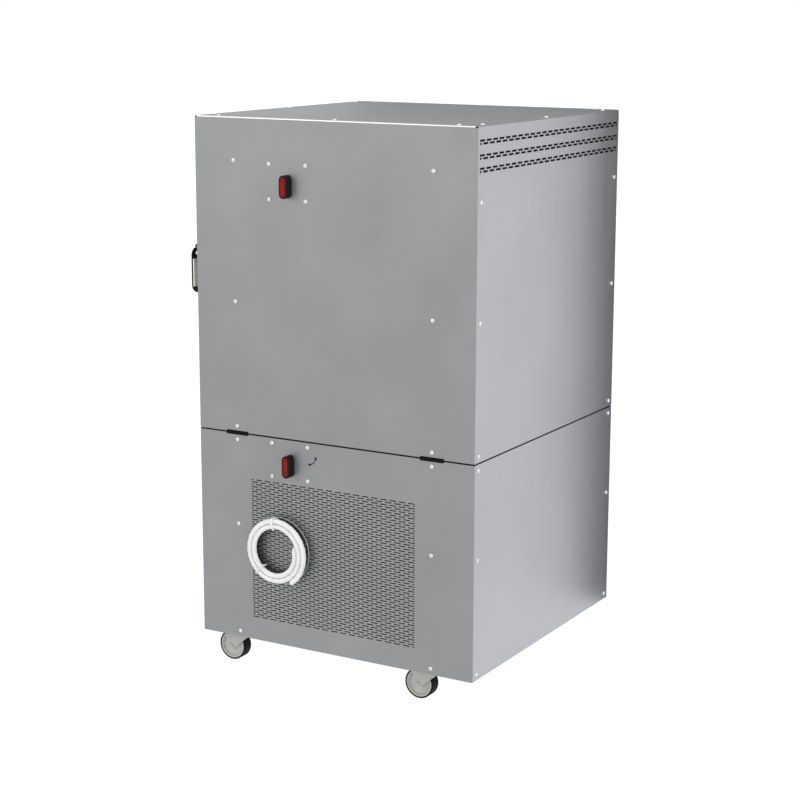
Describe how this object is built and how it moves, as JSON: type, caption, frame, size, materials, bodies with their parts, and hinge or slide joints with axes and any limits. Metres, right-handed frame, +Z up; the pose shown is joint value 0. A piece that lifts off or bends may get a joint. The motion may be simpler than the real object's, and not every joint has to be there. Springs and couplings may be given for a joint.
{
  "type": "fume hood",
  "caption": "Free-standing wash-down fume cabinet on castors: a hood with a glazed door and exhaust fan tips off a base with an intake grille and a drain hose.",
  "frame": {"origin": "on the floor, under the middle of the outline", "axes": "+Z up, -Y towards the door, +X towards the service side with the knobs, grille and hose"},
  "size_m": [0.623, 0.6282, 1.0802],
  "materials": {
    "painted_side": "satin",
    "brushed_rear": "brushed",
    "stainless": "satin",
    "zinc_frame": "satin",
    "screw_steel": "polished",
    "black_metal": "semi-gloss",
    "black_plastic": "gloss",
    "red_plastic": "gloss",
    "black_rubber": "matt",
    "white_hose": "satin",
    "brass_valve": "satin",
    "glass": "clear",
    "carbon": "matt",
    "grey_fork": "satin",
    "wheel": "matt",
    "bright_insert": "satin"
  },
  "bodies": {
    "base": {"base_frame": "zinc_frame", "base_front_panel": "painted_side", "base_left_panel": "painted_side", "base_right_panel": "painted_side", "base_rear_panel": "brushed_rear", "base_screws": "screw_steel", "seam_gasket": "black_rubber", "tilt_hinge_lower_leaves": "black_metal", "tilt_hinge_pins": "stainless", "drip_tray": "stainless", "drain_valve_body": "brass_valve", "drain_valve_bracket": "zinc_frame", "hose_outlet": "white_hose", "hose_rack": "white_hose", "hose_pad": "black_rubber", "hose_ties": "white_hose", "drain_hose_coil": "white_hose", "power_inlet": "black_plastic", "castor_plates": "stainless"},
    "hood": {"hood_frame": "zinc_frame", "hood_front_frame": "painted_side", "hood_right_panel": "painted_side", "hood_left_panel": "painted_side", "hood_rear_panel": "brushed_rear", "hood_top_panel": "painted_side", "hood_screws": "screw_steel", "tilt_hinge_upper_leaves": "black_metal", "chamber_liner": "stainless", "chamber_baffle": "stainless", "work_tray": "stainless", "carbon_filter": "carbon", "exhaust_fan_housing": "zinc_frame", "fan_motor": "black_metal", "spray_valve_body": "brass_valve", "spray_valve_bracket": "zinc_frame", "spray_pipe": "stainless", "door_hinge_brackets": "black_metal"},
    "door": {"door_frame": "painted_side", "door_glass": "glass", "door_gasket": "black_rubber", "door_hinge_leaves": "black_metal", "handle_mount": "black_plastic"},
    "lever": {"handle_lever": "black_plastic", "handle_insert": "bright_insert"},
    "spray_control": {"spray_knob": "black_plastic", "spray_knob_insert": "red_plastic", "spray_valve_ball": "brass_valve"},
    "drain_control": {"drain_knob": "black_plastic", "drain_knob_insert": "red_plastic", "drain_valve_ball": "brass_valve"},
    "fan": {"exhaust_impeller": "black_metal"},
    "rocker": {"power_switch": "red_plastic"},
    "castor_fr": {"castor_fork_fr": "grey_fork"},
    "wheel_fr": {"castor_wheel_fr": "wheel"},
    "castor_fl": {"castor_fork_fl": "grey_fork"},
    "wheel_fl": {"castor_wheel_fl": "wheel"},
    "castor_rr": {"castor_fork_rr": "grey_fork"},
    "wheel_rr": {"castor_wheel_rr": "wheel"},
    "castor_rl": {"castor_fork_rl": "grey_fork"},
    "wheel_rl": {"castor_wheel_rl": "wheel"}
  },
  "joints": [
    {"name": "hood_tilt", "type": "hinge", "parent": "base", "child": "hood", "pos_m": [0.287, 0.013, 0.479], "axis": [0, 1, 0], "range_deg": [0, 80]},
    {"name": "door_swing", "type": "hinge", "parent": "hood", "child": "door", "pos_m": [-0.3, -0.292, 0.779], "axis": [0, 0, -1], "range_deg": [0, 110]},
    {"name": "handle_lift", "type": "hinge", "parent": "door", "child": "lever", "pos_m": [0.258, -0.3, 0.816], "axis": [-1, 0, 0], "range_deg": [0, 40]},
    {"name": "spray_turn", "type": "hinge", "parent": "hood", "child": "spray_control", "pos_m": [0.287, -0.079, 0.955], "axis": [-1, 0, 0], "range_deg": [0, 90]},
    {"name": "drain_turn", "type": "hinge", "parent": "base", "child": "drain_control", "pos_m": [0.287, -0.079, 0.429], "axis": [-1, 0, 0], "range_deg": [0, 90]},
    {"name": "fan_spin", "type": "hinge", "parent": "hood", "child": "fan", "pos_m": [-0.0105, 0.11, 0.9845], "axis": [0, 0, 1], "continuous": true},
    {"name": "power_rocker", "type": "hinge", "parent": "base", "child": "rocker", "pos_m": [-0.3065, -0.117, 0.404], "axis": [0, 1, 0], "range_deg": [-12, 0]},
    {"name": "swivel_fr", "type": "hinge", "parent": "base", "child": "castor_fr", "pos_m": [0.231, -0.225, 0.066], "axis": [0, 0, 1], "continuous": true},
    {"name": "roll_fr", "type": "hinge", "parent": "castor_fr", "child": "wheel_fr", "pos_m": [0.231, -0.252, 0.03], "axis": [1, 0, 0], "continuous": true},
    {"name": "swivel_fl", "type": "hinge", "parent": "base", "child": "castor_fl", "pos_m": [-0.252, -0.225, 0.066], "axis": [0, 0, 1], "continuous": true},
    {"name": "roll_fl", "type": "hinge", "parent": "castor_fl", "child": "wheel_fl", "pos_m": [-0.252, -0.252, 0.03], "axis": [1, 0, 0], "continuous": true},
    {"name": "swivel_rr", "type": "hinge", "parent": "base", "child": "castor_rr", "pos_m": [0.231, 0.203, 0.066], "axis": [0, 0, 1], "continuous": true},
    {"name": "roll_rr", "type": "hinge", "parent": "castor_rr", "child": "wheel_rr", "pos_m": [0.231, 0.176, 0.03], "axis": [1, 0, 0], "continuous": true},
    {"name": "swivel_rl", "type": "hinge", "parent": "base", "child": "castor_rl", "pos_m": [-0.252, 0.203, 0.066], "axis": [0, 0, 1], "continuous": true},
    {"name": "roll_rl", "type": "hinge", "parent": "castor_rl", "child": "wheel_rl", "pos_m": [-0.252, 0.176, 0.03], "axis": [1, 0, 0], "continuous": true}
  ]
}
